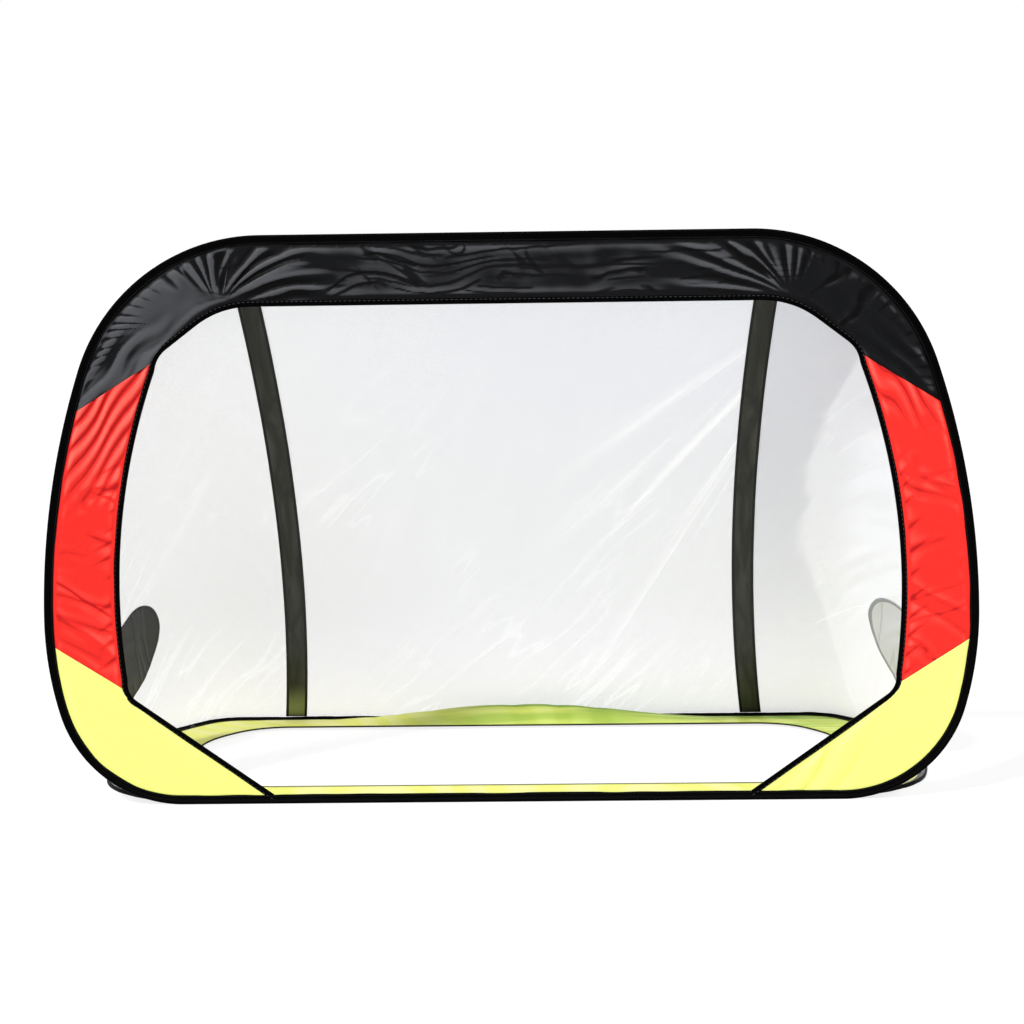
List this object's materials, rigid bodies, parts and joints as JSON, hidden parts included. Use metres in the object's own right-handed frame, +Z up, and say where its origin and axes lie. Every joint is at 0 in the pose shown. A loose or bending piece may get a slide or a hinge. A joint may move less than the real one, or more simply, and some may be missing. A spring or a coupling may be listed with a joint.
{
  "type": "beach soccer goal",
  "caption": "Pop-up goal of spring-steel hoops in cloth sleeves, with colour-blocked front cloth, a fine mesh net and a ring of ground cloth; the standing hoop folds flat.",
  "frame": {"origin": "on the ground, under the middle of the goal's box", "axes": "+X across the mouth to the right seen from the front, +Y from the mouth to the back of the net, +Z up"},
  "size_m": [1.8, 0.9008, 1.1],
  "materials": {
    "black_nylon": "thin coated nylon with a soft sheen and gathers",
    "red_nylon": "thin coated nylon with a soft sheen",
    "yellow_nylon": "thin coated nylon, fluorescent yellow",
    "binding_tape": "woven polyester tape, matte",
    "white_mesh": "fine polyester mesh, see-through",
    "dark_band": "thin dark nylon strip, light shines through",
    "grey_patch": "coated nylon, creased",
    "spring_steel": "drawn spring-steel wire",
    "zinc_ferrule": "zinc-plated crimp tube"
  },
  "bodies": {
    "base": {"base_hoop_wire": "spring_steel", "base_hoop_ferrule": "zinc_ferrule", "base_hoop_sleeve": "black_nylon", "base_panel_front": "yellow_nylon", "base_panel_rear": "yellow_nylon", "base_panel_left": "yellow_nylon", "base_panel_right": "yellow_nylon", "base_hem_front": "binding_tape", "base_hem_rear": "binding_tape", "base_hem_left": "binding_tape", "base_hem_right": "binding_tape", "net_rear": "white_mesh", "net_left": "white_mesh", "net_right": "white_mesh", "rear_band_left": "dark_band", "rear_band_right": "dark_band", "side_patch_left": "grey_patch", "side_patch_right": "grey_patch", "corner_gusset_left": "black_nylon", "corner_gusset_right": "black_nylon", "hinge_tape": "binding_tape"},
    "front_frame": {"front_hoop_wire": "spring_steel", "front_hoop_ferrule": "zinc_ferrule", "front_hoop_sleeve": "black_nylon", "top_band": "black_nylon", "top_corner_left": "black_nylon", "top_corner_right": "black_nylon", "side_panel_left": "red_nylon", "side_panel_right": "red_nylon", "lower_corner_left": "yellow_nylon", "lower_corner_right": "yellow_nylon", "mouth_binding": "binding_tape"}
  },
  "joints": [
    {"name": "front_fold", "type": "hinge", "parent": "base", "child": "front_frame", "pos_m": [0, -0.43975, 0.00815], "axis": [-1, 0, 0], "range_deg": [0, 90], "stiffness_Nm_per_rad": 12, "springref_deg": -10, "deforming": ["net_rear", "net_left", "net_right", "rear_band_left", "rear_band_right", "side_patch_left", "side_patch_right", "corner_gusset_left", "corner_gusset_right", "hinge_tape"]}
  ]
}
